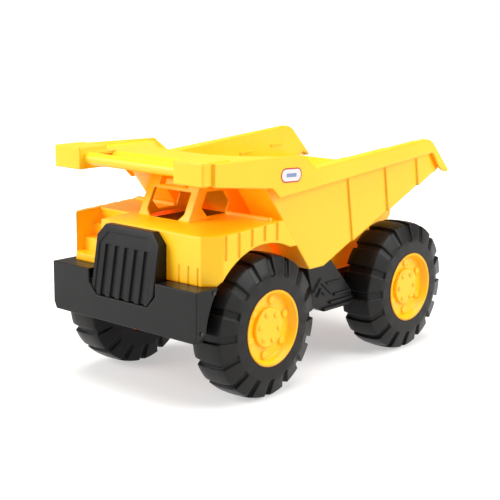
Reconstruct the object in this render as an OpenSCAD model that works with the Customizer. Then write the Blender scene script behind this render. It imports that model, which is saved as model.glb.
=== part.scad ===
// Toy dump truck for sand and garden play: a moulded cab, a tipping bed with a canopy
// over the cab, four free-running wheels on two steel axles, and a black chassis.
// Front faces -Y, the truck's left side is +X, and the wheels stand on Z = 0.

/* [Wheels] */
// Outside diameter of each tyre
tyre_d = 200; // [188:1:206]
// Width of each tyre
tyre_w = 66; // [60:1:68]
// Diameter of the hub over its lip
hub_d = 106; // [96:1:112]
// Distance across the outer hub lips
track_w = 316; // [314:1:330]
// Distance between the two axles
wheelbase = 328; // [320:1:345]
// Diameter of the axle rods
axle_d = 8; // [6:0.5:10]
// Lugs round each tyre
lugs = 16; // [12:1:20]
// Depth of the grooves between the lugs
lug_depth = 4; // [3:0.5:5]

/* [Front and cab] */
// From the front of the tyre to the foot of the grille
front_overhang = 34; // [30:1:46]
// Width across the bumper
bumper_w = 282; // [274:1:290]
// Height of the bumper
bumper_h = 69; // [62:1:76]
// Width across the fenders
body_w = 286; // [278:1:290]
// From the bumper top to the fender deck
deck_h = 65.5; // [60:0.5:70]
// Width of the cab
cab_w = 99; // [90:1:108]
// From the deck to the cab roof
cab_h = 45.5; // [40:0.5:50]
// Width across the grille
grille_w = 121; // [108:1:126]
// Upright slots in the grille
grille_slots = 5; // [3:1:7]
// Treads of the boarding steps
stair_treads = 3; // [2:1:4]

/* [Dump bed] */
// Width across the bed rims
bed_w = 294; // [286:1:300]
// From the rear axle to the tail of the bed
rear_overhang = 113; // [106:1:122]
// Outside height of the rim at the tail
rim_h = 23; // [19:1:26]
// Lean of the bed's front wall from the upright
front_lean = 37.8; // [35:0.2:40]
// Slope of the bed's floor
ramp_angle = 22.4; // [21:0.2:23]
// Outward step of the side wall at each rib
panel_step = 3; // [1:0.5:4]
// Thickness of the handle bar along the front of the canopy
bar_d = 17; // [14:1:18]
// Opening for the fingers behind the handle bar
grip_gap = 25; // [20:1:28]

/* [Walls and fits] */
// Wall of the moulded shells
wall = 3; // [2.6:0.1:3.6]
// Radial clearance of a turning part on its pin
run_fit = 0.08; // [0.03:0.01:0.1]
// Gap between parts that move past each other
gap = 0.5; // [0.4:0.1:0.8]
// Diameter of the bed's hinge pin
pin_d = 10; // [8:0.5:12]

/* [Hidden] */
$fn = 64;

yellow = [1.0, 0.83, 0.1];
black = [0.16, 0.16, 0.17];
steel = [0.72, 0.73, 0.75];
eps = 0.01;

// Stations along the truck
tyre_r = tyre_d / 2;
y_front = -(front_overhang + tyre_r + wheelbase + rear_overhang) / 2;
y_fax = y_front + front_overhang + tyre_r;
y_rax = y_fax + wheelbase;
y_tail = y_rax + rear_overhang;
z_ax = tyre_r;

// Wheels
hub_r = hub_d / 2;
hub_x = track_w / 2;
lip = 1;
tyre_x = hub_x - lip - tyre_w / 2;
half_w = tyre_w / 2;
bead_r = hub_r - 3;
side_r = hub_r + 18;
axle_r = axle_d / 2;
boss_r = axle_r + 9;
floor_z = half_w + lip - 12;
cap_r = hub_r - 25;
nut_z = floor_z - 14;
boss_in = -half_w + 3;
spacer_x0 = tyre_x - half_w - 7;
spacer_x1 = tyre_x + boss_in - gap;
front_turn = -10;

// Bumper and fenders
z_bb = z_ax + 1;
z_bt = z_bb + bumper_h;
y_bf = y_front + 1.5;
y_hood = y_bf + 27.5;
y_bumper_rear = y_bf + 46.5;
bumper_wall = 4;
chamfer_w = 5;
chamfer_h = 10;
snug = 0.3;
arch_r = tyre_r + 14.5;
well_x = tyre_x - half_w - 4;
z_deck = z_bt + deck_h;
z_roof = z_deck + cab_h;
half_body = body_w / 2;
corner = 20;
deck_slope = 0.042;
function deck_z(y) = z_deck + (y - y_hood) * deck_slope;

// Bed outline, seen from the side
lean = tan(front_lean);
z_bed = z_deck - 76;
y_bed0 = y_fax + 110;
y_bed1 = y_bed0 + 32;
ramp = tan(ramp_angle);
y_floor = y_tail - 33;
z_canopy = z_roof + 44.5;
z_peak = z_canopy + 2.5;
z_dip = z_canopy - 18.5;
z_rear = z_canopy - 0.5;
z_tip = z_rear - 57;
y_peak = y_bed0 - 39;
y_dip = y_bed0 - 10;
y_step = y_peak - 15;
y_corner = y_tail - 64;
y_skirt = y_front + 29;
half_bed = bed_w / 2;
panel_w = half_bed - 16;
skirt_t = 4.5;
rib_y = [y_tail - 249, y_tail - 159, y_tail - 79];
rib_z = z_rear - 38;
rib_lean = 9;
function wall_y(z) = y_bed0 - (z - z_bed) * lean;
function ramp_at(y) = z_bed + (y - y_bed1) * ramp;

// Cab outline, seen from the side
cab_back_y = wall_y(z_deck) + 28.5;
cab_rear_y = wall_y(z_roof) + 28.5;
cab_front_y = y_hood + 51.5;
cab_rake = 0.489;
cab_top_y = cab_front_y + cab_h * cab_rake;
half_cab = cab_w / 2;
y_fender_rear = wall_y(z_deck) - 13.5;
z_floor_top = z_deck - 4;

// Chassis beam
beam_w = 124;
half_beam = beam_w / 2;
z_beam0 = z_ax - 16;
z_beam1 = z_ax + 40;
z_saddle = z_bed - gap;
tank_x = panel_w - 3;
tank_y0 = y_fax + tyre_r + 14;
tank_y1 = y_rax - tyre_r - 7;

// Hinge
hinge_y = y_rax + 19;
hinge_z = z_beam1 + 10;
pin_r = pin_d / 2;
ear_r = pin_r + 8;
ear_t = 8;
arm_x0 = half_beam + gap;
arm_x1 = arm_x0 + 6;
z_arm = z_ax + 26;
y_beam1 = hinge_y + 46;

// Wheel, in its own frame: axis along Z and the outer face up

module on_wheel(side, y) {
    translate([side * tyre_x, y, z_ax])
        rotate([0, side * 90, 0])
            children();
}

module tyre_section() {
    polygon([
        [bead_r, -half_w], [side_r, -half_w], [tyre_r - 2.5, 8.5 - half_w],
        [tyre_r - 0.7, 16 - half_w], [tyre_r, 26 - half_w], [tyre_r, half_w - 26],
        [tyre_r - 0.7, half_w - 16], [tyre_r - 2.5, half_w - 8.5], [side_r, half_w],
        [bead_r, half_w]
    ]);
}

module tyre_hollow() {
    polygon([
        [bead_r - 5, 4 - half_w], [side_r - 2, 4 - half_w], [tyre_r - 9.5, 13 - half_w],
        [tyre_r - 7, 22 - half_w], [tyre_r - 7, half_w - 22], [tyre_r - 9.5, half_w - 13],
        [side_r - 2, half_w - 4], [bead_r - 5, half_w - 4]
    ]);
}

// Groove between two lugs: over the tread and down both shoulders
module lug_groove() {
    d = lug_depth;
    w = 10.5;
    translate([0, w / 2, 0])
        rotate([90, 0, 0])
            linear_extrude(w)
                polygon([
                    [side_r + 1.3, half_w + 2], [side_r + 1.3, half_w - d * 0.8],
                    [tyre_r - 2.5 - d, half_w - 8.5 - d * 0.8], [tyre_r - d, half_w - 24],
                    [tyre_r - d, 24 - half_w], [tyre_r - 2.5 - d, 8.5 + d * 0.8 - half_w],
                    [side_r + 1.3, d * 0.8 - half_w], [side_r + 1.3, -half_w - 2],
                    [tyre_r + 8, -half_w - 2], [tyre_r + 8, half_w + 2]
                ]);
}

module tyre() {
    color(black)
        difference() {
            rotate_extrude($fn = 128)
                tyre_section();
            rotate_extrude($fn = 128)
                tyre_hollow();
            for (i = [0 : lugs - 1])
                rotate([0, 0, i * 360 / lugs])
                    lug_groove();
        }
}

module hub() {
    t = wall;
    color(yellow)
        difference() {
            union() {
                rotate_extrude($fn = 128)
                    polygon([
                        [bead_r, 8 - half_w], [bead_r, half_w], [hub_r, half_w],
                        [hub_r, half_w + lip * 0.6], [hub_r - 1, half_w + lip],
                        [hub_r - 3.4, half_w + lip], [hub_r - 8, floor_z], [boss_r - 1, floor_z],
                        [boss_r - 1, floor_z - t], [hub_r - 9, floor_z - t],
                        [bead_r - t, floor_z - t - 4], [bead_r - t, 8 - half_w]
                    ]);
                translate([0, 0, boss_in])
                    cylinder(r = boss_r, h = floor_z - boss_in);
                for (i = [0 : 5])
                    rotate([0, 0, i * 60])
                        translate([hub_r - 15.2, 0, floor_z - 1])
                            cylinder(r = 6.2, h = 4, $fn = 40);
                for (i = [0 : 5])
                    rotate([0, 0, 30 + i * 60])
                        translate([boss_r - 1, -t / 2, 2])
                            cube([bead_r - boss_r - 0.7, t, floor_z - t - 1]);
            }
            translate([0, 0, boss_in - 1])
                cylinder(r = axle_r + run_fit, h = 2 * half_w + 4);
            translate([0, 0, nut_z])
                cylinder(r = boss_r - 2, h = half_w);
        }
}

module cap() {
    color(yellow) {
        translate([0, 0, floor_z])
            cylinder(r = cap_r, h = 5);
        for (i = [0 : 5])
            rotate([0, 0, 30 + i * 60])
                translate([cap_r - 8.2, 0, floor_z + 5 - eps])
                    cylinder(r = 3.8, h = 1.8, $fn = 32);
    }
}

module tyre_front_left() { on_wheel(1, y_fax) tyre(); }
module tyre_front_right() { on_wheel(-1, y_fax) tyre(); }
module tyre_rear_left() { on_wheel(1, y_rax) tyre(); }
module tyre_rear_right() { on_wheel(-1, y_rax) tyre(); }
module hub_front_left() { on_wheel(1, y_fax) rotate(front_turn) hub(); }
module hub_front_right() { on_wheel(-1, y_fax) rotate(front_turn) hub(); }
module hub_rear_left() { on_wheel(1, y_rax) hub(); }
module hub_rear_right() { on_wheel(-1, y_rax) hub(); }
module cap_front_left() { on_wheel(1, y_fax) rotate(front_turn) cap(); }
module cap_front_right() { on_wheel(-1, y_fax) rotate(front_turn) cap(); }
module cap_rear_left() { on_wheel(1, y_rax) cap(); }
module cap_rear_right() { on_wheel(-1, y_rax) cap(); }

// Axles and what holds the wheels on them

module along_x(x0, x1, y, z, r) {
    translate([x0, y, z])
        rotate([0, 90, 0])
            cylinder(r = r, h = x1 - x0);
}

module axle(y) {
    end = tyre_x + nut_z + 7;
    color(steel)
        along_x(-end, end, y, z_ax, axle_r);
}

module front_axle() { axle(y_fax); }
module rear_axle() { axle(y_rax); }

module wheel_spacers() {
    color(black)
        for (y = [y_fax, y_rax])
            for (s = [0, 1])
                mirror([s, 0, 0])
                    difference() {
                        along_x(spacer_x0, spacer_x1, y, z_ax, axle_r + 5);
                        along_x(spacer_x0 - 1, spacer_x1 + 1, y, z_ax, axle_r);
                    }
}

module axle_nuts() {
    x0 = tyre_x + nut_z + gap;
    color(steel)
        for (y = [y_fax, y_rax])
            for (s = [0, 1])
                mirror([s, 0, 0])
                    difference() {
                        along_x(x0, x0 + 4, y, z_ax, axle_r + 5);
                        along_x(x0 - 1, x0 + 5, y, z_ax, axle_r);
                    }
}

// Space kept clear round each front wheel
module arch_space(r, x0, x1) {
    for (s = [0, 1])
        mirror([s, 0, 0])
            along_x(x0, x1, y_fax, z_ax, r);
}

// Chassis

module beam_cells() {
    n = 5;
    y0 = y_bumper_rear + 4;
    pitch = (y_beam1 - y0 - 4) / n;
    for (i = [0 : n - 1])
        translate([4 - half_beam, y0 + i * pitch, z_beam0 + 6])
            cube([beam_w - 8, pitch - 4, z_beam1 - z_beam0 - 10]);
}

module hinge_plate() {
    across(half_beam - ear_t, half_beam) {
        polygon([
            [hinge_y - ear_r - 10, z_beam1 - 1], [hinge_y + ear_r + 2, z_beam1 - 1],
            [hinge_y + ear_r, hinge_z], [hinge_y - ear_r, hinge_z]
        ]);
        translate([hinge_y, hinge_z])
            circle(r = ear_r);
    }
}

// Ledge on each side of the beam that the tipped bed's arm comes to rest on
module tip_stop() {
    translate([half_beam - 1, hinge_y + ear_r + 7, z_beam1 - 20])
        cube([arm_x1 - half_beam + 1, 24, 20 - gap]);
}

module front_frame() {
    w = bumper_w / 2 - bumper_wall;
    difference() {
        union() {
            translate([-w, y_hood, z_bb + bumper_wall])
                cube([2 * w, 5, bumper_h - 2 * bumper_wall]);
            translate([-w, y_bf + bumper_wall, z_bb + bumper_wall])
                cube([2 * w, y_hood - y_bf - bumper_wall + 1, 5]);
            translate([-half_beam, y_hood + 4, z_bb + bumper_wall])
                cube([beam_w, y_bumper_rear - y_hood, bumper_h - 2 * bumper_wall]);
        }
        arch_space(arch_r, well_x, half_body + 5);
        corner_cut(w);
        translate([5 - half_beam, y_hood + 9, z_bb])
            cube([beam_w - 10, y_bumper_rear - y_hood - 9, bumper_h - bumper_wall - 5]);
    }
}

// Lower corners of the bumper, taken off the frame inside it
module corner_cut(w) {
    for (s = [0, 1])
        mirror([s, 0, 0])
            translate([0, y_front, 0])
                rotate([-90, 0, 0])
                    linear_extrude(70)
                        polygon([
                            [w + 1, -z_bb], [w + 1, -z_bb - chamfer_h - snug],
                            [w - snug, -z_bb - chamfer_h - snug],
                            [w - chamfer_w - snug, -z_bb - bumper_wall - snug],
                            [w - chamfer_w - snug, -z_bb]
                        ]);
}

module chassis() {
    color(black)
        difference() {
            union() {
                translate([-half_beam, y_bumper_rear + snug, z_beam0])
                    cube([beam_w, y_beam1 - y_bumper_rear - snug, z_beam1 - z_beam0]);
                front_frame();
                translate([-half_beam, y_bed0 - 16, z_beam1 - 1])
                    cube([beam_w, 62, z_saddle - z_beam1 + 1]);
                for (s = [0, 1])
                    mirror([s, 0, 0]) {
                        hinge_plate();
                        tip_stop();
                    }
                for (y = [y_fax, y_rax])
                    along_x(-spacer_x0, spacer_x0, y, z_ax, axle_r + 8);
            }
            difference() {
                beam_cells();
                for (y = [y_fax, y_rax])
                    along_x(-spacer_x0, spacer_x0, y, z_ax, axle_r + 8);
            }
            translate([6 - half_beam, y_bed0 - 10, z_beam1 - 6])
                cube([beam_w - 12, 50, z_saddle - z_beam1 + 2]);
            for (y = [y_fax, y_rax])
                along_x(-spacer_x0 - 1, spacer_x0 + 1, y, z_ax, axle_r);
            along_x(-half_beam - 1, half_beam + 1, hinge_y, hinge_z, pin_r);
            for (x = [-1, 1])
                for (y = screw_y)
                    translate([x * screw_x, y, z_beam1 - 8])
                        cylinder(r = 2, h = 20, $fn = 32);
        }
}

// Bumper

module bumper_face(in) {
    w = bumper_w / 2 - in;
    polygon([
        [-w, z_bt - in], [-w, z_bb + chamfer_h], [chamfer_w - w, z_bb + in],
        [w - chamfer_w, z_bb + in], [w, z_bb + chamfer_h], [w, z_bt - in]
    ]);
}

module facing(y0, y1) {
    translate([0, y1, 0])
        rotate([90, 0, 0])
            linear_extrude(y1 - y0)
                children();
}

notch_w = grille_w / 2 + 5;
grille_foot = z_bb + 35;

module front_bumper() {
    color(black)
        difference() {
            facing(y_bf, y_bumper_rear)
                bumper_face(0);
            facing(y_bf + bumper_wall, y_bumper_rear + 1)
                bumper_face(bumper_wall);
            facing(y_bf - 1, y_hood)
                polygon([
                    [-notch_w, z_bt + 1], [-notch_w + 0.6, grille_foot + 16],
                    [-notch_w + 16, grille_foot - 0.6], [notch_w - 16, grille_foot - 0.6],
                    [notch_w - 0.6, grille_foot + 16], [notch_w, z_bt + 1]
                ]);
            arch_space(arch_r, well_x, half_body + 5);
            for (p = bumper_screw)
                along_x(-bumper_w, bumper_w, p[0], p[1], 1.8);
        }
}

// Grille

module grille_face(in) {
    w = grille_w / 2 - in;
    h0 = grille_foot + in;
    h1 = z_deck - 2 - in;
    polygon([
        [12 - w, h0], [-w, h0 + 14.5], [-w, h1 - 16], [14.5 - w, h1],
        [w - 14.5, h1], [w, h1 - 16], [w, h0 + 14.5], [w - 12, h0]
    ]);
}

module raked(depth) {
    rake = 0.175;
    translate([-grille_w, 0, 0])
        rotate([90, 0, 90])
            linear_extrude(2 * grille_w)
                polygon([
                    [y_front + depth - rake, grille_foot - 1],
                    [y_front + depth + (z_deck - grille_foot) * rake, z_deck],
                    [y_hood + 1, z_deck], [y_hood + 1, grille_foot - 1]
                ]);
}

frame_w = 7;
frame_top = 10;
face_depth = 2;
slot_w = 10;
slot_depth = 3.5;
slot_top = z_deck - 29.5;
back_depth = 11;

// Sunk panel between the frame's sides, open at the foot
module grille_panel() {
    w = grille_w / 2 - frame_w;
    h1 = z_deck - 2 - frame_top;
    polygon([
        [-w, grille_foot - 2], [-w, h1 - 16], [14.5 - w, h1],
        [w - 14.5, h1], [w, h1 - 16], [w, grille_foot - 2]
    ]);
}

module grille_slots() {
    pitch = (grille_w - 26) / grille_slots;
    for (i = [0 : grille_slots - 1])
        translate([(i - (grille_slots - 1) / 2) * pitch - slot_w / 2, grille_foot - 2])
            square([slot_w, slot_top - grille_foot + 2]);
}

module grille() {
    color(black)
        difference() {
            intersection() {
                facing(y_front - 5, y_hood)
                    grille_face(0);
                raked(0);
            }
            difference() {
                facing(y_front - 5, y_hood)
                    grille_panel();
                raked(face_depth);
            }
            difference() {
                facing(y_front - 5, y_hood)
                    grille_slots();
                raked(face_depth + slot_depth);
            }
            intersection() {
                facing(y_front, y_hood + 1)
                    grille_face(6);
                raked(back_depth);
            }
        }
}

// Cab body: hood, fenders, boarding steps and cab in one moulding

module fender_plan(in) {
    w = half_body - in;
    polygon([
        [corner - half_body, y_hood + in], [half_body - corner, y_hood + in],
        [w, y_hood + corner], [w, y_bed0], [-w, y_bed0], [-w, y_hood + corner]
    ]);
}

// Side outline of the fender block; in draws it in from the front, the deck and the rear
module fender_side(in, drop) {
    rear = y_fender_rear - in * 1.27;
    polygon([
        [y_hood + in, z_bt - drop], [y_hood + in, z_deck - in],
        [rear + in * lean, deck_z(rear) - in], [rear + (z_deck - z_bt + drop + 5) * lean, z_bt - drop]
    ]);
}

module across(x0, x1) {
    translate([x0, 0, 0])
        rotate([90, 0, 90])
            linear_extrude(x1 - x0)
                children();
}

module fender_block(in, drop) {
    intersection() {
        translate([0, 0, z_bt - drop])
            linear_extrude(deck_h + drop + 20)
                fender_plan(in);
        across(-half_body, half_body)
            fender_side(in, drop);
    }
}

stair_x0 = 12 - half_body;
stair_x1 = -grille_w / 2 - 8;
stair_rise = (deck_h - 10.6) / stair_treads;
stair_run = 16.3;
stair_y = y_hood + 22;

// The air over the boarding steps, or with t the steps' own thickness as well
module stair_space(t) {
    for (i = [0 : stair_treads - 1])
        translate([stair_x0 - t, y_hood - 2, z_bt + 10.6 + i * stair_rise - t])
            cube([stair_x1 - stair_x0 + 2 * t, stair_y - y_hood + 2 + i * stair_run + t, deck_h + 12]);
}

module cab_side(in) {
    polygon([
        [cab_front_y + in * 1.1, z_floor_top - 3 - in], [cab_front_y + in * 1.1, z_deck],
        [cab_top_y + in * 1.1 - in * cab_rake, z_roof - in],
        [cab_rear_y - in * 1.27 + in * lean, z_roof - in],
        [cab_back_y - in * 1.27, z_deck], [cab_back_y - in * 1.27, z_floor_top - 3 - in]
    ]);
}

module windscreen() {
    facing(y_hood, cab_top_y + 6)
        polygon([
            [13.7 - half_cab, z_roof - 5.5], [half_cab - 13.7, z_roof - 5.5],
            [half_cab - 13.5, z_deck + 11.5], [half_cab - 22.5, z_deck + 2.5],
            [22.5 - half_cab, z_deck + 2.5], [13.5 - half_cab, z_deck + 11.5]
        ]);
}

module side_windows() {
    y0 = cab_top_y;
    across(-half_cab - 1, half_cab + 1)
        polygon([
            [y0 + 4.5, z_deck + 19.5], [y0 + 15.5, z_deck + 6.5], [y0 + 53.5, z_deck + 6.5],
            [y0 + 60, z_deck + 23], [y0 + 46.5, z_roof - 6], [y0 + 15.5, z_roof - 5]
        ]);
}

// Roof posts run on up the windscreen's line and stop short of the bed's front wall
post_gap = 2.5;
z_post = (wall_y(0) - post_gap - cab_top_y + z_roof * cab_rake) / (cab_rake + lean);
function post_front(z) = cab_top_y + (z - z_roof) * cab_rake;
function post_rear(z) = wall_y(z) - post_gap;

module roof_posts() {
    for (s = [0, 1])
        mirror([s, 0, 0])
            across(half_cab - 23, half_cab)
                polygon([
                    [post_front(z_roof - wall), z_roof - wall], [post_front(z_post - 6), z_post - 6],
                    [post_rear(z_post - 6), z_post - 6], [post_rear(z_post - 12), z_post - 12],
                    [cab_top_y + 16, z_roof - wall]
                ]);
}

module roof_box() {
    facing(cab_top_y + 3, cab_top_y + 26)
        polygon([
            [27.5 - half_cab, z_roof - wall], [half_cab - 27.5, z_roof - wall],
            [half_cab - 32.5, z_roof + 9], [32.5 - half_cab, z_roof + 9]
        ]);
}

groove_w = 6;
groove_depth = 2.6;
groove_pitch = 25.6;
function arch_top(y) = z_ax + sqrt(arch_r * arch_r - (y - y_fax) * (y - y_fax));
function groove_foot(y) = max(z_deck - 32, arch_top(y) + 3.5);

// Upright grooves along the fender sides, or with t the wall round them as well
module fender_grooves(t) {
    for (s = [0, 1])
        mirror([s, 0, 0])
            for (i = [0 : 4]) {
                y = y_hood + 24.4 + i * groove_pitch;
                translate([half_body - groove_depth - t, y - groove_w / 2 - t, groove_foot(y) - t])
                    cube([groove_depth + t + 2, groove_w + 2 * t, 60]);
            }
}

module front_slits() {
    for (x = [half_body - 60, half_body - 43, half_body - 26])
        translate([x - 1, y_hood - 1, z_bt - 1])
            cube([2, 2.4, 25]);
}

// Clears the fender side behind the wheel, below the arch's rear corner
module fender_notch() {
    for (s = [0, 1])
        mirror([s, 0, 0])
            translate([well_x, y_fax + 50, z_bt - 2])
                cube([half_body, 80, z_deck - 33 - z_bt + 2]);
}

module deck_ledges() {
    for (s = [0, 1])
        mirror([s, 0, 0])
            translate([half_cab - 1, y_fender_rear - 18, z_deck])
                cube([half_body - 12 - half_cab + 1, 7, deck_z(y_fender_rear - 14) - z_deck + 4.5]);
}

module cab_body() {
    color(yellow)
        difference() {
            union() {
                fender_block(0, 0);
                across(-half_cab, half_cab)
                    cab_side(0);
                roof_posts();
                roof_box();
                deck_ledges();
            }
            difference() {
                fender_block(wall, 1);
                arch_space(arch_r + wall, well_x - wall, half_body + 5);
                stair_space(wall);
                fender_grooves(wall);
            }
            arch_space(arch_r, well_x, half_body + 5);
            across(wall - half_cab, half_cab - wall)
                cab_side(wall);
            stair_space(0);
            windscreen();
            side_windows();
            fender_grooves(0);
            front_slits();
            fender_notch();
        }
}

// Black floor seen through the cab windows, on its own hollow stand

floor_w = cab_w - 2 * wall - 1;
foot_w = floor_w + 20;
screw_x = floor_w / 2 + 5;
screw_y = [cab_front_y + 22, y_fender_rear - 14];

module cab_floor() {
    y0 = cab_front_y + 8;
    y1 = y_fender_rear - 2;
    y2 = cab_back_y - 3 * wall;
    color(black)
        difference() {
            union() {
                translate([-floor_w / 2, y0, z_floor_top - 3])
                    cube([floor_w, y2 - y0, 3]);
                translate([-foot_w / 2, y0, z_beam1])
                    cube([foot_w, y1 - y0, 4]);
                difference() {
                    translate([-floor_w / 2, y0, z_beam1])
                        cube([floor_w, y1 - y0, z_floor_top - z_beam1 - 1]);
                    translate([4 - floor_w / 2, y0 + 4, z_beam1 + 4])
                        cube([floor_w - 8, y1 - y0 - 8, z_floor_top - z_beam1 - 7]);
                }
            }
            for (x = [-1, 1])
                for (y = screw_y)
                    translate([x * screw_x, y, z_beam1 - 1])
                        cylinder(r = 2, h = 6, $fn = 32);
        }
}

module floor_screws() {
    color(steel)
        for (x = [-1, 1])
            for (y = screw_y)
                translate([x * screw_x, y, 0]) {
                    translate([0, 0, z_beam1 + 4])
                        cylinder(r = 3.8, h = 2.6, $fn = 32);
                    translate([0, 0, z_beam1 - 7])
                        cylinder(r = 2, h = 11.5, $fn = 32);
                }
}

bumper_screw = [[y_bf + 32.5, z_bt - 6], [y_bf + 9.5, z_bb + 13.5]];

module bumper_screws() {
    x = bumper_w / 2;
    color(steel)
        for (s = [0, 1])
            mirror([s, 0, 0])
                for (p = bumper_screw) {
                    along_x(x, x + 1.2, p[0], p[1], 2.8);
                    along_x(x - bumper_wall, x + 0.2, p[0], p[1], 1.8);
                }
}

// Side tanks with their step ledges

module tank_side() {
    polygon([
        [tank_y0, z_saddle - 1], [y_bed1 + 2, z_saddle - 1], [y_bed1 + 26, z_saddle + 5],
        [tank_y1 - 4, z_ax + 13], [tank_y1, z_ax + 4], [tank_y1, z_ax - 11],
        [tank_y0 + 36, z_ax - 11], [tank_y0 + 13, z_ax - 1], [tank_y0 + 10, z_ax + 26]
    ]);
}

// Raised strip on the tank's outer face, from y0 to y1
module tank_strip(y0, y1, z, h, out) {
    translate([tank_x - 5, y0, z])
        cube([out + 1, y1 - y0, h]);
}

// Raised inverted V with its peak at y, z and legs of width w
module tank_brace(y, z, front, front_h, rear, rear_h, w) {
    across(tank_x - 5, tank_x - 1.5)
        polygon([
            [y, z], [y + rear, z - rear_h], [y + rear - w, z - rear_h], [y, z - w],
            [y - front + w, z - front_h], [y - front, z - front_h]
        ]);
}

module tank() {
    x1 = tank_x - 4;
    y_brace = tank_y0 + 29;
    color(black)
        difference() {
            union() {
                across(half_beam, x1)
                    tank_side();
                tank_strip(tank_y0 + 36, tank_y1, z_ax - 11, 5, 4);
                tank_strip(tank_y0 + 52, tank_y1, z_ax - 2.5, 4, 3.5);
                tank_strip(tank_y0 + 62, tank_y1 - 5, z_ax + 8, 4, 3);
                tank_strip(tank_y0 + 44, tank_y0 + 78, z_ax + 28, 3.5, 2);
                tank_brace(y_brace, z_ax + 40, 17, 19, 31, 27, 7);
                tank_brace(y_brace + 1, z_ax + 25, 9, 12, 13, 12, 5);
            }
            across(half_beam + 4, x1 - 4)
                polygon([
                    [tank_y0 + 16, z_saddle - 5], [y_bed1 + 2, z_saddle - 5], [y_bed1 + 24, z_saddle + 1],
                    [tank_y1 - 8, z_ax + 12], [tank_y1 - 4, z_ax + 3], [tank_y1 - 4, z_ax - 7],
                    [tank_y0 + 38, z_ax - 7], [tank_y0 + 18, z_ax + 2]
                ]);
        }
}

module left_tank() { tank(); }
module right_tank() { mirror([1, 0, 0]) tank(); }

// Dump bed

module tub_outline() {
    polygon([
        [y_bed0, z_bed], [y_bed1, z_bed], [y_floor, ramp_at(y_floor)],
        [y_floor + 6, ramp_at(y_floor) + 0.5], [y_tail - 18, z_tip + 8], [y_tail - 6, z_tip + 5],
        [y_corner + 14, z_rear - 7], [y_corner, z_rear - 1], [y_dip, z_dip - 1],
        [y_dip - 12, z_dip - 1], [y_step, z_canopy - 1], [wall_y(z_canopy), z_canopy - 1]
    ]);
}

module tub_inside() {
    t = wall;
    dy = t / cos(front_lean);
    dz = t / cos(ramp_angle);
    polygon([
        [wall_y(z_bed + t) + dy, z_bed + t], [y_bed1 - 0.5, z_bed + t],
        [y_floor, ramp_at(y_floor) + dz], [y_floor, z_bed], [y_tail + 9, z_bed],
        [y_tail + 9, z_canopy + 60],
        [wall_y(z_canopy) + dy, z_canopy + 60], [wall_y(z_canopy) + dy, z_canopy]
    ]);
}

// Everything behind a rib line; back shifts the line towards the tail
module behind_rib(i, back) {
    translate([-bed_w, rib_y[i] + back, rib_z])
        rotate([rib_lean, 0, 0])
            translate([0, 0, -300])
                cube([2 * bed_w, 500, 600]);
}

module stepped(in, back) {
    across(in - panel_w, panel_w - in)
        children();
    for (i = [0 : 2]) {
        w = panel_w + (i + 1) * panel_step - in;
        intersection() {
            across(-w, w)
                children();
            behind_rib(i, back);
        }
    }
}

// Pocket in the front wall that takes the back of the cab
module cab_pocket(t) {
    w = half_cab + 25.5 + t;
    z0 = z_deck - 46 - t;
    z1 = z_roof + 19 + t;
    deep = 36 + t * 1.27;
    across(-w, w)
        polygon([
            [wall_y(z0) - 20, z0], [wall_y(z0) + deep, z0],
            [wall_y(z1) + deep, z1], [wall_y(z1) - 20, z1]
        ]);
}

// Skirt seen from the side
module rim_outline() {
    polygon([
        [y_skirt, z_canopy + 7], [y_peak, z_peak], [y_dip, z_dip], [y_corner, z_rear],
        [y_corner + 10, z_rear - 2.5], [y_corner + 18.5, z_rear - 7.5], [y_tail, z_tip + 4],
        [y_tail - 4, z_tip], [y_tail - 15, z_tip + 3], [y_tail - 26, z_tip + 9.5],
        [y_corner + 18.5, z_rear - rim_h], [y_bed0 - 86, z_dip - 33.5],
        [y_bed0 - 102, z_dip - 18.5], [y_skirt, z_dip - 5]
    ]);
}

// The rim's top plate runs on forward at the dip and closes the end of the canopy deck
module cap_outline() {
    polygon([
        [y_step - 30, z_canopy - 1], [y_step, z_canopy - 1], [y_step, z_dip - 1.5], [y_dip, z_dip],
        [y_corner, z_rear], [y_corner + 10, z_rear - 2.5], [y_corner + 18.5, z_rear - 7.5],
        [y_tail, z_tip + 4], [y_tail - 4, z_tip], [y_tail - 60, z_tip - 60], [y_step - 30, z_tip - 60]
    ]);
}

module rim() {
    for (s = [0, 1])
        mirror([s, 0, 0]) {
            across(half_bed - skirt_t, half_bed)
                rim_outline();
            across(panel_w - wall, half_bed)
                intersection() {
                    difference() {
                        cap_outline();
                        translate([-2.8, -3.6])
                            cap_outline();
                    }
                    translate([y_step - 10, z_tip])
                        square([y_tail - y_step + 10, 200]);
                }
        }
}

block_x0 = half_bed - 56.5;
block_x1 = half_bed - skirt_t;
block_y0 = y_front + 11.5;
block_z0 = z_canopy - 22;
block_z1 = z_canopy + 8.5;
slot_x = block_x0 - 8;
roll_r = 12;

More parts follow.
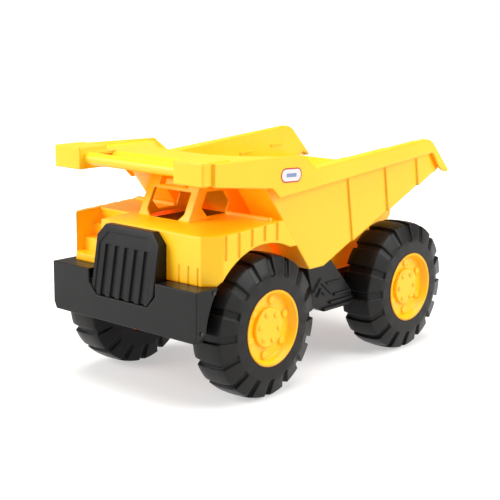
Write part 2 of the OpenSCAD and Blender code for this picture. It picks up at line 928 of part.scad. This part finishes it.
module canopy() {
    y_slot = y_front + 36 + grip_gap;
    y_edge = wall_y(z_canopy) + 17;
    difference() {
        translate([0, 0, z_canopy - wall])
            linear_extrude(wall)
                polygon([
                    [1 - half_bed, y_skirt], [half_bed - 1, y_skirt], [half_bed - 1, y_step],
                    [panel_w - 4, y_step], [panel_w - 34, y_step - 26], [panel_w - 56, y_step - 44],
                    [panel_w - 81, y_edge + 3], [20, y_edge], [-20, y_edge], [81 - panel_w, y_edge + 3],
                    [56 - panel_w, y_step - 44], [34 - panel_w, y_step - 26], [4 - panel_w, y_step],
                    [1 - half_bed, y_step]
                ]);
        translate([-slot_x, y_skirt - 1, z_canopy - 10])
            cube([2 * slot_x, y_slot + roll_r - y_skirt + 1, 20]);
    }
    deck_roll(y_slot);
    for (s = [0, 1])
        mirror([s, 0, 0])
            difference() {
                translate([block_x0, block_y0, block_z0])
                    cube([block_x1 - block_x0, y_slot - block_y0, block_z1 - block_z0]);
                translate([block_x0 + wall, block_y0 + wall, block_z0 - 1])
                    cube([
                        block_x1 - block_x0 - 2 * wall, y_slot - block_y0 - 2 * wall,
                        block_z1 - block_z0 - wall + 1
                    ]);
            }
    along_bar();
}

// Rolled edge of the deck behind the finger opening
function roll_arc(r, turn) = [for (a = turn) [roll_r - r * cos(a), r * sin(a) - roll_r]];

module deck_roll(y) {
    run = 4;
    across(-slot_x - 1, slot_x + 1)
        translate([y, z_canopy])
            polygon(concat(
                roll_arc(roll_r, [0 : 7.5 : 90]), [[roll_r + run, 0], [roll_r + run, -wall]],
                roll_arc(roll_r - wall, [90 : -7.5 : 0])
            ));
}

// Handle bar between the two canopy blocks
module along_bar() {
    y = y_front + 19 + bar_d / 2;
    z = z_canopy + 1 - bar_d / 2;
    r = bar_d / 2;
    along_x(-block_x0 - 1, block_x0 + 1, y, z, r);
    translate([-block_x0 - 1, y, z - r])
        cube([2 * block_x0 + 2, r - 2, 2 * r - 1]);
}

// Arms under the floor that carry the bed on its pin
module hinge_arms() {
    for (s = [0, 1])
        mirror([s, 0, 0])
            across(arm_x0, arm_x1) {
                polygon([
                    [hinge_y - 130, ramp_at(hinge_y - 130) + 1], [hinge_y - 100, z_arm],
                    [hinge_y - 34, z_arm], [hinge_y, hinge_z - ear_r], [hinge_y + ear_r, hinge_z],
                    [hinge_y + 50, z_ax + 95], [hinge_y + 50, ramp_at(hinge_y + 50) + 1]
                ]);
                translate([hinge_y, hinge_z])
                    circle(r = ear_r);
            }
}

module dump_bed() {
    color(yellow)
        difference() {
            union() {
                difference() {
                    union() {
                        stepped(0, 0)
                            tub_outline();
                        rim();
                    }
                    difference() {
                        stepped(wall, wall)
                            tub_inside();
                        cab_pocket(wall);
                    }
                    cab_pocket(0);
                }
                canopy();
                hinge_arms();
            }
            along_x(-arm_x1 - 1, arm_x1 + 1, hinge_y, hinge_z, pin_r + run_fit);
        }
}

module hinge_pin() {
    end = arm_x1 + gap + 5;
    color(steel)
        along_x(-end, end, hinge_y, hinge_z, pin_r);
}

module hinge_caps() {
    x0 = arm_x1 + gap;
    color(black)
        for (s = [0, 1])
            mirror([s, 0, 0])
                difference() {
                    along_x(x0, x0 + 6.5, hinge_y, hinge_z, pin_r + 3.5);
                    along_x(x0 - 1, x0 + 5, hinge_y, hinge_z, pin_r);
                }
}

// Plain side labels

module label(s) {
    color([0.95, 0.95, 0.93])
        across(s > 0 ? half_bed : -half_bed - 0.4, s > 0 ? half_bed + 0.4 : -half_bed)
            translate([y_bed0 - 64, z_canopy - 22.5])
                rotate(-3) {
                    square([26, 20], center = true);
                    for (e = [-1, 1])
                        translate([e * 12, 0])
                            circle(r = 10);
                }
}

module left_label() { label(1); }
module right_label() { label(-1); }

chassis();
front_bumper();
grille();
cab_body();
cab_floor();
dump_bed();
left_tank();
right_tank();
tyre_front_left();
tyre_front_right();
tyre_rear_left();
tyre_rear_right();
hub_front_left();
hub_front_right();
hub_rear_left();
hub_rear_right();
cap_front_left();
cap_front_right();
cap_rear_left();
cap_rear_right();
front_axle();
rear_axle();
wheel_spacers();
axle_nuts();
hinge_pin();
hinge_caps();
bumper_screws();
floor_screws();
left_label();
right_label();
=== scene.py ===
import bpy
import bmesh
import math
from mathutils import Matrix, Vector


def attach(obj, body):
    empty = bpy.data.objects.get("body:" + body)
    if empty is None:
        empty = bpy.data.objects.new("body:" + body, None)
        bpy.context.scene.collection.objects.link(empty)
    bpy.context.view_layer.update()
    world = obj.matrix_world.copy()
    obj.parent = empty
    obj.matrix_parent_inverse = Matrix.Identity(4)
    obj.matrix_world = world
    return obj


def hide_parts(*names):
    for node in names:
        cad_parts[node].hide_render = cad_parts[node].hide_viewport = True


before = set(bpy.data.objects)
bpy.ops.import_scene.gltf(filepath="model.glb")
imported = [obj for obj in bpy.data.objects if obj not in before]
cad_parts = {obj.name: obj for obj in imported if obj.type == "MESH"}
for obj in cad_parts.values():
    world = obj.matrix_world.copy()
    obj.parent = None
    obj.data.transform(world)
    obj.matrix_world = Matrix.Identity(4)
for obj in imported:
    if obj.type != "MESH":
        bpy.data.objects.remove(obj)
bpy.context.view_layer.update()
print("stage: frame loaded")


# Shader expressions: arithmetic on wires adds Math nodes

class Wire:
    def __init__(self, tree, socket):
        self.tree = tree
        self.socket = socket

    def maths(self, kind, *terms):
        node = self.tree.nodes.new("ShaderNodeMath")
        node.operation = kind
        for place, term in enumerate(terms):
            plug(self.tree, term, node.inputs[place])
        return Wire(self.tree, node.outputs[0])

    def most(self, other):
        return self.maths("MAXIMUM", self, other)

    def __add__(self, other): return self.maths("ADD", self, other)
    def __radd__(self, other): return self.maths("ADD", other, self)
    def __sub__(self, other): return self.maths("SUBTRACT", self, other)
    def __rsub__(self, other): return self.maths("SUBTRACT", other, self)
    def __mul__(self, other): return self.maths("MULTIPLY", self, other)
    def __rmul__(self, other): return self.maths("MULTIPLY", other, self)
    def __pow__(self, other): return self.maths("POWER", self, other)
    def __rpow__(self, other): return self.maths("POWER", other, self)
    def __lt__(self, other): return self.maths("LESS_THAN", self, other)
    def __gt__(self, other): return self.maths("GREATER_THAN", self, other)
    def __abs__(self): return self.maths("ABSOLUTE", self)


def plug(tree, value, socket):
    if isinstance(value, Wire):
        tree.links.new(value.socket, socket)
    else:
        socket.default_value = value


class Finish:
    def __init__(self, holder):
        holder.use_nodes = True
        self.holder = holder
        self.tree = holder.node_tree
        self.tree.nodes.clear()

    def node(self, kind, settings=None, sockets=None, out=0):
        made = self.tree.nodes.new(kind)
        for key, value in (settings or {}).items():
            setattr(made, key, value)
        for key, value in (sockets or {}).items():
            plug(self.tree, value, made.inputs[key])
        return Wire(self.tree, made.outputs[out]) if made.outputs else None

    def place(self):
        return self.node("ShaderNodeTexCoord", out="Object")

    def noise(self, at, scale, detail, rough):
        return self.node("ShaderNodeTexNoise", None,
                         {"Vector": at, "Scale": scale, "Detail": detail, "Roughness": rough}, "Fac")

    def blend(self, mask, first, second):
        return self.node("ShaderNodeMix", {"data_type": "RGBA"}, {0: mask, 6: first, 7: second}, 2)

    def ramp(self, value, low, high):
        return self.node("ShaderNodeMapRange", {"clamp": True},
                         {"Value": value, "From Min": low, "From Max": high, "To Min": 0.0, "To Max": 1.0})

    def softEdge(self, radius):
        return self.node("ShaderNodeBevel", {"samples": edgeSamples}, {"Radius": radius})

    def grain(self, height, strength, depth, normal=None):
        sockets = {"Height": height, "Strength": strength, "Distance": depth}
        if normal is not None:
            sockets["Normal"] = normal
        return self.node("ShaderNodeBump", None, sockets)

    def rayKind(self, kind):
        return self.node("ShaderNodeLightPath", out=kind)

    def surface(self, sockets):
        shader = self.node("ShaderNodeBsdfPrincipled", None, sockets)
        self.node("ShaderNodeOutputMaterial", None, {"Surface": shader})
        return self.holder


# Finishes: each noise is scale, detail and roughness, and each grain is strength and depth

edgeSamples = 6
noiseMiddle = 0.5
plasticIor = 1.49

yellowLook = {
    "colour": (0.98, 0.575, 0.007, 1), "deep": (0.97, 0.545, 0.005, 1), "pale": (0.99, 0.605, 0.012, 1),
    "cloud": (9.0, 3.0, 0.55), "cloudRange": (0.35, 0.65),
    "speck": (140.0, 2.0, 0.6), "speckRange": (0.60, 0.80), "speckShare": 0.5, "speckGloss": 0.03,
    "wipe": (26.0, 4.0, 0.6), "gloss": 0.32, "glossSpread": 0.10, "shine": 0.45,
    "fine": (1500.0, 2.0, 0.5), "fineGrain": (0.10, 0.00006),
    "wave": (38.0, 1.0, 0.4), "waveGrain": (0.05, 0.0006), "soft": 0.0042,
    # The next keys set a painted orange glow in hollows, standing in for light bounced in the shade
    "paintedHollowGlow": (1.0, 0.12, 0.0, 1), "noPaintedGlow": (0, 0, 0, 1), "paintedGlowReach": 0.06, "paintedGlowRange": (0.70, 0.15),
    "paintedGlowSamples": 4, "paintedGlowStrength": 0.32,
}


def yellowPlastic():
    f = Finish(bpy.data.materials.new("YellowMoulding"))
    at = f.place()
    cloud = f.noise(at, *yellowLook["cloud"])  # slow drift of the pigment
    speck = f.noise(at, *yellowLook["speck"])
    tone = f.blend(f.ramp(cloud, *yellowLook["cloudRange"]), yellowLook["deep"], yellowLook["colour"])
    flecks = f.ramp(speck, *yellowLook["speckRange"]) * yellowLook["speckShare"]
    tone = f.blend(flecks, tone, yellowLook["pale"])
    wipe = f.noise(at, *yellowLook["wipe"])
    rough = yellowLook["gloss"] + yellowLook["glossSpread"] * (wipe - noiseMiddle)
    rough = rough + yellowLook["speckGloss"] * speck
    fine = f.noise(at, *yellowLook["fine"])
    wave = f.noise(at, *yellowLook["wave"])  # the slight waviness of a large moulding
    wavy = f.grain(wave, *yellowLook["waveGrain"], f.softEdge(yellowLook["soft"]))
    bump = f.grain(fine, *yellowLook["fineGrain"], wavy)
    # Painted light: ambient occlusion finds the hollows, and they glow orange to stand in for the light
    # bounced in shaded recesses
    shade = f.node("ShaderNodeAmbientOcclusion", {"samples": yellowLook["paintedGlowSamples"]},
                   {"Distance": yellowLook["paintedGlowReach"]}, "AO")
    paintedShadeMask = f.ramp(shade, *yellowLook["paintedGlowRange"])
    glow = f.blend(paintedShadeMask, yellowLook["noPaintedGlow"], yellowLook["paintedHollowGlow"])  # painted orange glow in the hollows, standing in for light bounced in the shade
    return f.surface({"Base Color": tone, "Roughness": rough, "Normal": bump, "Emission Color": glow,
                      "Emission Strength": yellowLook["paintedGlowStrength"], "IOR": plasticIor,
                      "Specular IOR Level": yellowLook["shine"]})


blackLook = {
    "colour": (0.006, 0.006, 0.0065, 1), "worn": (0.012, 0.012, 0.0125, 1),
    "cloud": (14.0, 4.0, 0.6), "cloudRange": (0.40, 0.75), "cloudShare": 0.6,
    "speck": (420.0, 2.0, 0.5), "speckShare": 0.25, "speckGloss": 0.05,
    "gloss": 0.29, "glossSpread": 0.12, "shine": 0.2,
    "fine": (900.0, 3.0, 0.6), "fineGrain": (0.25, 0.00012), "soft": 0.0022,
}

tyreLook = {
    "colour": (0.007, 0.007, 0.0075, 1), "worn": (0.016, 0.016, 0.016, 1),
    "cloud": (18.0, 4.0, 0.6), "cloudRange": (0.45, 0.80), "cloudShare": 0.5,
    "speck": (300.0, 3.0, 0.6), "speckShare": 0.2, "speckGloss": 0.06,
    "gloss": 0.31, "glossSpread": 0.14, "shine": 0.2,
    "fine": (700.0, 3.0, 0.6), "fineGrain": (0.3, 0.00015), "soft": 0.003,
}


def darkPlastic(name, look):
    f = Finish(bpy.data.materials.new(name))
    at = f.place()
    cloud = f.noise(at, *look["cloud"])
    speck = f.noise(at, *look["speck"])
    wear = f.ramp(cloud, *look["cloudRange"]) * look["cloudShare"] + look["speckShare"] * speck
    tone = f.blend(wear, look["colour"], look["worn"])
    rough = look["gloss"] + look["glossSpread"] * (cloud - noiseMiddle) + look["speckGloss"] * speck
    fine = f.noise(at, *look["fine"])
    bump = f.grain(fine, *look["fineGrain"], f.softEdge(look["soft"]))
    return f.surface({"Base Color": tone, "Roughness": rough, "Normal": bump, "IOR": plasticIor,
                      "Specular IOR Level": look["shine"]})


steelLook = {
    "colour": (0.58, 0.58, 0.57, 1), "dark": (0.40, 0.40, 0.40, 1), "drawn": (4.0, 300.0, 300.0),
    "lines": (6.0, 3.0, 0.6), "lineRange": (0.35, 0.70), "gloss": 0.32, "glossSpread": 0.16,
    "lineGrain": (0.12, 0.00005), "metal": 1.0,
}


def axleSteel():
    f = Finish(bpy.data.materials.new("AxleSteel"))
    drawn = f.node("ShaderNodeMapping", {"vector_type": "POINT"},
                   {"Vector": f.place(), "Scale": steelLook["drawn"]})
    lines = f.noise(drawn, *steelLook["lines"])  # drawing marks along the rod
    tone = f.blend(f.ramp(lines, *steelLook["lineRange"]), steelLook["dark"], steelLook["colour"])
    rough = steelLook["gloss"] + steelLook["glossSpread"] * (lines - noiseMiddle)
    bump = f.grain(lines, *steelLook["lineGrain"])
    return f.surface({"Base Color": tone, "Roughness": rough, "Normal": bump,
                      "Metallic": steelLook["metal"]})


screwLook = {
    "colour": (0.03, 0.03, 0.032, 1), "worn": (0.11, 0.11, 0.11, 1), "rub": (500.0, 4.0, 0.65),
    "rubRange": (0.55, 0.75), "gloss": 0.36, "glossSpread": 0.2, "rubGrain": (0.15, 0.0001), "metal": 0.6,
}


def blackScrew():
    f = Finish(bpy.data.materials.new("BlackedScrew"))
    rub = f.noise(f.place(), *screwLook["rub"])
    tone = f.blend(f.ramp(rub, *screwLook["rubRange"]), screwLook["colour"], screwLook["worn"])
    rough = screwLook["gloss"] + screwLook["glossSpread"] * (rub - noiseMiddle)
    bump = f.grain(rub, *screwLook["rubGrain"])
    return f.surface({"Base Color": tone, "Roughness": rough, "Normal": bump,
                      "Metallic": screwLook["metal"]})


labelLook = {
    "white": (0.70, 0.70, 0.70, 1), "soiled": (0.66, 0.66, 0.65, 1), "red": (0.46, 0.03, 0.02, 1),
    "blue": (0.07, 0.13, 0.40, 1), "centreY": -0.1075, "centreZ": 0.303, "turn": 3.0,
    "halfLong": 0.012, "halfHigh": 0.010, "line": 0.0021, "feather": 0.0003,
    "bandLong": 0.0105, "bandHigh": 0.0026, "bandInk": 0.8,
    "fade": (300.0, 2.0, 0.5), "soil": 0.6, "gloss": 0.22, "glossSpread": 0.08, "fadeGrain": (0.05, 0.0001),
}


def labelFilm():
    f = Finish(bpy.data.materials.new("LabelFilm"))
    at = f.place()
    y = f.node("ShaderNodeSeparateXYZ", None, {0: at}, 1) - labelLook["centreY"]
    z = f.node("ShaderNodeSeparateXYZ", None, {0: at}, 2) - labelLook["centreZ"]
    cosine, sine = math.cos(math.radians(labelLook["turn"])), math.sin(math.radians(labelLook["turn"]))
    u = y * cosine - z * sine  # along the pill
    v = y * sine + z * cosine
    along = (abs(u) - labelLook["halfLong"]).most(0.0)
    reach = (along * along + v * v) ** 0.5  # distance from the pill's middle line
    border = labelLook["halfHigh"] - labelLook["line"]
    edge = f.ramp(reach, border, border + labelLook["feather"])
    band = (abs(u) < labelLook["bandLong"]) * (abs(v) < labelLook["bandHigh"])
    fade = f.noise(at, *labelLook["fade"])
    tone = f.blend(fade * labelLook["soil"], labelLook["white"], labelLook["soiled"])
    tone = f.blend(band * labelLook["bandInk"], tone, labelLook["blue"])
    tone = f.blend(edge, tone, labelLook["red"])
    rough = labelLook["gloss"] + labelLook["glossSpread"] * fade
    bump = f.grain(fade, *labelLook["fadeGrain"])
    return f.surface({"Base Color": tone, "Roughness": rough, "Normal": bump})


finishes = {
    "yellow_plastic": yellowPlastic(), "black_plastic": darkPlastic("BlackMoulding", blackLook),
    "tyre_plastic": darkPlastic("TyreMoulding", tyreLook), "axle_steel": axleSteel(),
    "black_screw": blackScrew(), "label_film": labelFilm(),
}
print("stage: finishes made")


# Modelling helpers: lengths in metres, angles in degrees

mould = {"merge": 0.00012, "thin": 0.00002, "level": 0.5, "sharp": 28, "steps": 3,
         "smooth": 32, "weight": 50}


def clearPick():
    if bpy.context.object and bpy.context.object.mode != "OBJECT":
        bpy.ops.object.mode_set(mode="OBJECT")
    bpy.ops.object.select_all(action="DESELECT")


def takeUp(piece):
    clearPick()
    piece.hide_set(False)
    piece.select_set(True)
    bpy.context.view_layer.objects.active = piece


def cadCopy(node, name):
    piece = bpy.data.objects.new(name, bpy.data.objects[node].data.copy())
    bpy.context.scene.collection.objects.link(piece)
    takeUp(piece)
    bpy.ops.object.mode_set(mode="EDIT")
    bpy.ops.mesh.select_all(action="SELECT")
    bpy.ops.mesh.remove_doubles(threshold=mould["merge"])
    bpy.ops.mesh.beautify_fill(angle_limit=math.radians(mould["level"]))
    bpy.ops.object.mode_set(mode="OBJECT")
    return piece


def softenEdges(piece, width):
    takeUp(piece)
    soft = piece.modifiers.new("Soften", "BEVEL")
    soft.width = width
    soft.segments = mould["steps"]
    soft.limit_method = "ANGLE"
    soft.angle_limit = math.radians(mould["sharp"])
    soft.use_clamp_overlap = False
    soft.loop_slide = False  # sliding leaves dark slivers beside the narrow faces
    bpy.ops.object.modifier_apply(modifier=soft.name)
    bpy.ops.object.mode_set(mode="EDIT")
    bpy.ops.mesh.select_all(action="SELECT")
    bpy.ops.mesh.dissolve_degenerate(threshold=mould["thin"])
    bpy.ops.mesh.quads_convert_to_tris(quad_method="BEAUTY", ngon_method="BEAUTY")
    bpy.ops.mesh.beautify_fill(angle_limit=math.radians(mould["level"]))
    bpy.ops.object.mode_set(mode="OBJECT")


def settle(piece, spec):
    takeUp(piece)
    bpy.ops.object.shade_smooth_by_angle(angle=math.radians(mould["smooth"]))
    level = piece.modifiers.new("Level", "WEIGHTED_NORMAL")
    level.keep_sharp = True
    level.mode = "FACE_AREA"
    level.weight = mould["weight"]
    bpy.ops.object.modifier_apply(modifier=level.name)
    piece.data.materials.clear()
    piece.data.materials.append(finishes[spec["slot"]])
    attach(piece, spec["body"])
    if "nodes" in spec:
        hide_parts(*spec["nodes"])
    clearPick()


def mouldFrom(spec):
    piece = cadCopy(spec["nodes"][0], spec["name"])
    softenEdges(piece, spec["edge"])
    settle(piece, spec)


# The fixed mouldings and the bed

cabShell = {"name": "CabShell", "nodes": ["cab_body"], "body": "base",
            "slot": "yellow_plastic", "edge": 0.0008}
mouldFrom(cabShell)

dumpBed = {"name": "DumpBed", "nodes": ["dump_bed"], "body": "bed",
           "slot": "yellow_plastic", "edge": 0.0007}
mouldFrom(dumpBed)

bumper = {"name": "Bumper", "nodes": ["front_bumper"], "body": "base",
          "slot": "black_plastic", "edge": 0.0012}
mouldFrom(bumper)

grille = {"name": "Grille", "nodes": ["grille"], "body": "base",
          "slot": "black_plastic", "edge": 0.0011}
mouldFrom(grille)

chassisBeam = {"name": "ChassisBeam", "nodes": ["chassis"], "body": "base",
               "slot": "black_plastic", "edge": 0.0012}
mouldFrom(chassisBeam)

tank = {"body": "base", "slot": "black_plastic", "edge": 0.0006}
for side in ("left", "right"):
    mouldFrom({**tank, "name": "Tank" + side.capitalize(), "nodes": [side + "_tank"]})

cabFloor = {"name": "CabFloor", "nodes": ["cab_floor"], "body": "base",
            "slot": "black_plastic", "edge": 0.0008}
mouldFrom(cabFloor)


# The wheels: a tyre, a hub and a cap each

tyre = {"slot": "tyre_plastic", "edge": 0.0010}
hub = {"slot": "yellow_plastic", "edge": 0.0008}
cap = {"slot": "yellow_plastic", "edge": 0.0008}
for end in ("front", "rear"):
    for side in ("left", "right"):
        corner = end + "_" + side
        for kind, part in (("tyre", tyre), ("hub", hub), ("cap", cap)):
            name = kind.capitalize() + end.capitalize() + side.capitalize()
            mouldFrom({**part, "name": name, "nodes": [kind + "_" + corner], "body": "wheel_" + corner})


# Low ledges on the bed's inner walls

ledge = {
    "body": "bed", "slot": "yellow_plastic", "long": 0.029, "proud": 0.002, "thick": 0.0036, "slope": 3.7,
    "taper": 0.35, "frontFacing": -0.9, "edge": 0.0007,
    "Mid": {"middle": 0.1125, "high": 0.2895, "wall": 0.131},
    "Tail": {"middle": 0.1925, "high": 0.2955, "wall": 0.134},
}


def ledgeShape():
    clearPick()
    bpy.ops.mesh.primitive_cube_add(size=1)
    piece = bpy.context.object
    bpy.ops.object.mode_set(mode="EDIT")
    bpy.ops.mesh.select_all(action="SELECT")
    bpy.ops.transform.resize(value=(2 * ledge["proud"], ledge["long"], ledge["thick"]))
    bpy.ops.mesh.select_all(action="DESELECT")
    mesh = bmesh.from_edit_mesh(piece.data)
    for face in mesh.faces:
        face.select = face.normal.y < ledge["frontFacing"]  # the front end runs out into the wall
    bmesh.update_edit_mesh(piece.data)
    bpy.ops.transform.resize(value=(ledge["taper"], 1, 1))
    bpy.ops.mesh.select_all(action="SELECT")
    bpy.ops.transform.rotate(value=-math.radians(ledge["slope"]), orient_axis="X",
                             center_override=(0, 0, 0))
    bpy.ops.object.mode_set(mode="OBJECT")
    soft = piece.modifiers.new("Soften", "BEVEL")
    soft.width = ledge["edge"]
    soft.segments = mould["steps"]
    bpy.ops.object.modifier_apply(modifier=soft.name)
    return piece


def hopperLedges():
    shape = ledgeShape()
    for run in ("Mid", "Tail"):
        spot = ledge[run]
        for side, sign in (("Left", 1), ("Right", -1)):
            piece = bpy.data.objects.new("HopperLedge" + run + side, shape.data.copy())
            bpy.context.scene.collection.objects.link(piece)
            takeUp(piece)
            bpy.ops.object.mode_set(mode="EDIT")
            bpy.ops.mesh.select_all(action="SELECT")
            bpy.ops.transform.translate(value=(sign * spot["wall"], spot["middle"], spot["high"]))
            bpy.ops.object.mode_set(mode="OBJECT")
            settle(piece, {"slot": ledge["slot"], "body": ledge["body"]})
    bpy.data.objects.remove(shape)


hopperLedges()


# Nodes that keep their CAD mesh

plainNodes = {
    "front_axle": "axle_steel", "rear_axle": "axle_steel", "axle_nuts": "axle_steel",
    "hinge_pin": "axle_steel", "wheel_spacers": "black_plastic", "hinge_caps": "black_plastic",
    "bumper_screws": "black_screw", "floor_screws": "axle_steel",
    "left_label": "label_film", "right_label": "label_film",
}
for node, slotName in plainNodes.items():
    kept = bpy.data.objects[node]
    kept.data.materials.clear()
    kept.data.materials.append(finishes[slotName])
print("stage: pieces moulded")


# Floor, light and camera

floorLook = {"size": 30.0, "height": -0.0002, "colour": (0.60, 0.60, 0.60, 1), "light": (1, 1, 1, 1),
             "near": 0.46, "far": 1.0, "from": 0.45, "to": 1.6}


def studioFloor():
    clearPick()
    bpy.ops.mesh.primitive_plane_add(size=floorLook["size"], location=(0, 0, floorLook["height"]))
    floor = bpy.context.object
    floor.name = "StudioFloor"
    f = Finish(bpy.data.materials.new("StudioFloor"))
    bounced = f.rayKind("Is Glossy Ray").most(f.rayKind("Is Transmission Ray"))
    shown = f.rayKind("Is Camera Ray").most(bounced)
    away = f.node("ShaderNodeVectorMath", {"operation": "LENGTH"}, {0: f.place()}, "Value")
    rise = f.ramp(away, floorLook["from"], floorLook["to"])  # the floor turns white away from the part
    lift = floorLook["near"] + (floorLook["far"] - floorLook["near"]) * rise
    matt = f.node("ShaderNodeBsdfDiffuse", None, {"Color": floorLook["colour"]})
    glow = f.node("ShaderNodeEmission", None, {"Color": floorLook["light"], "Strength": shown * lift})
    both = f.node("ShaderNodeAddShader", None, {0: matt, 1: glow})
    f.node("ShaderNodeOutputMaterial", None, {"Surface": both})
    floor.data.materials.append(f.holder)
    clearPick()


studioFloor()

lampSet = {
    "side": {"at": (2.0, 0.95, 1.2), "aim": (0, 0.0, 0.18), "size": 1.4, "power": 40},
    "front": {"at": (-1.2, -2.0, 1.1), "aim": (0, -0.05, 0.18), "size": 1.3, "power": 46},
    "top": {"at": (0.1, -0.2, 2.3), "aim": (0, 0, 0.1), "size": 2.0, "power": 60},
}


def facing(spot, target):
    return (Vector(target) - Vector(spot)).to_track_quat("-Z", "Y")


for name, spec in lampSet.items():
    lamp = bpy.data.lights.new("Lamp" + name.capitalize(), "AREA")
    lamp.energy = spec["power"]
    lamp.size = spec["size"]
    holder = bpy.data.objects.new("Lamp" + name.capitalize(), lamp)
    holder.location = spec["at"]
    holder.rotation_euler = facing(spec["at"], spec["aim"]).to_euler()
    bpy.context.scene.collection.objects.link(holder)

skyLook = {"light": 0.40, "tint": (1.0, 0.90, 0.76, 1), "shownLight": 1.0, "shown": (1, 1, 1, 1)}


def studioSky():
    world = bpy.data.worlds.new("StudioSky")
    bpy.context.scene.world = world
    f = Finish(world)
    lit = f.node("ShaderNodeBackground", None, {"Color": skyLook["tint"], "Strength": skyLook["light"]})
    white = f.node("ShaderNodeBackground", None,
                   {"Color": skyLook["shown"], "Strength": skyLook["shownLight"]})
    choose = f.node("ShaderNodeMixShader", None, {0: f.rayKind("Is Camera Ray"), 1: lit, 2: white})
    f.node("ShaderNodeOutputWorld", None, {"Surface": choose})


studioSky()

view = {"from": (1.1531, -1.3353, 0.53305), "at": (0, -0.0235, 0.1656), "lens": 85.37, "sensor": 36,
        "clip": 60, "roll": 0.5}


def photoCamera():
    eye = bpy.data.cameras.new("PhotoCamera")
    eye.lens = view["lens"]
    eye.sensor_width = view["sensor"]
    eye.clip_end = view["clip"]
    holder = bpy.data.objects.new("PhotoCamera", eye)
    look = facing(view["from"], view["at"]).to_matrix().to_4x4()
    roll = Matrix.Rotation(math.radians(view["roll"]), 4, "Z")
    holder.matrix_world = Matrix.Translation(view["from"]) @ look @ roll
    bpy.context.scene.collection.objects.link(holder)
    bpy.context.scene.camera = holder


photoCamera()
bpy.context.scene.view_settings.view_transform = "Standard"
print("stage: floor, lamps and camera set")
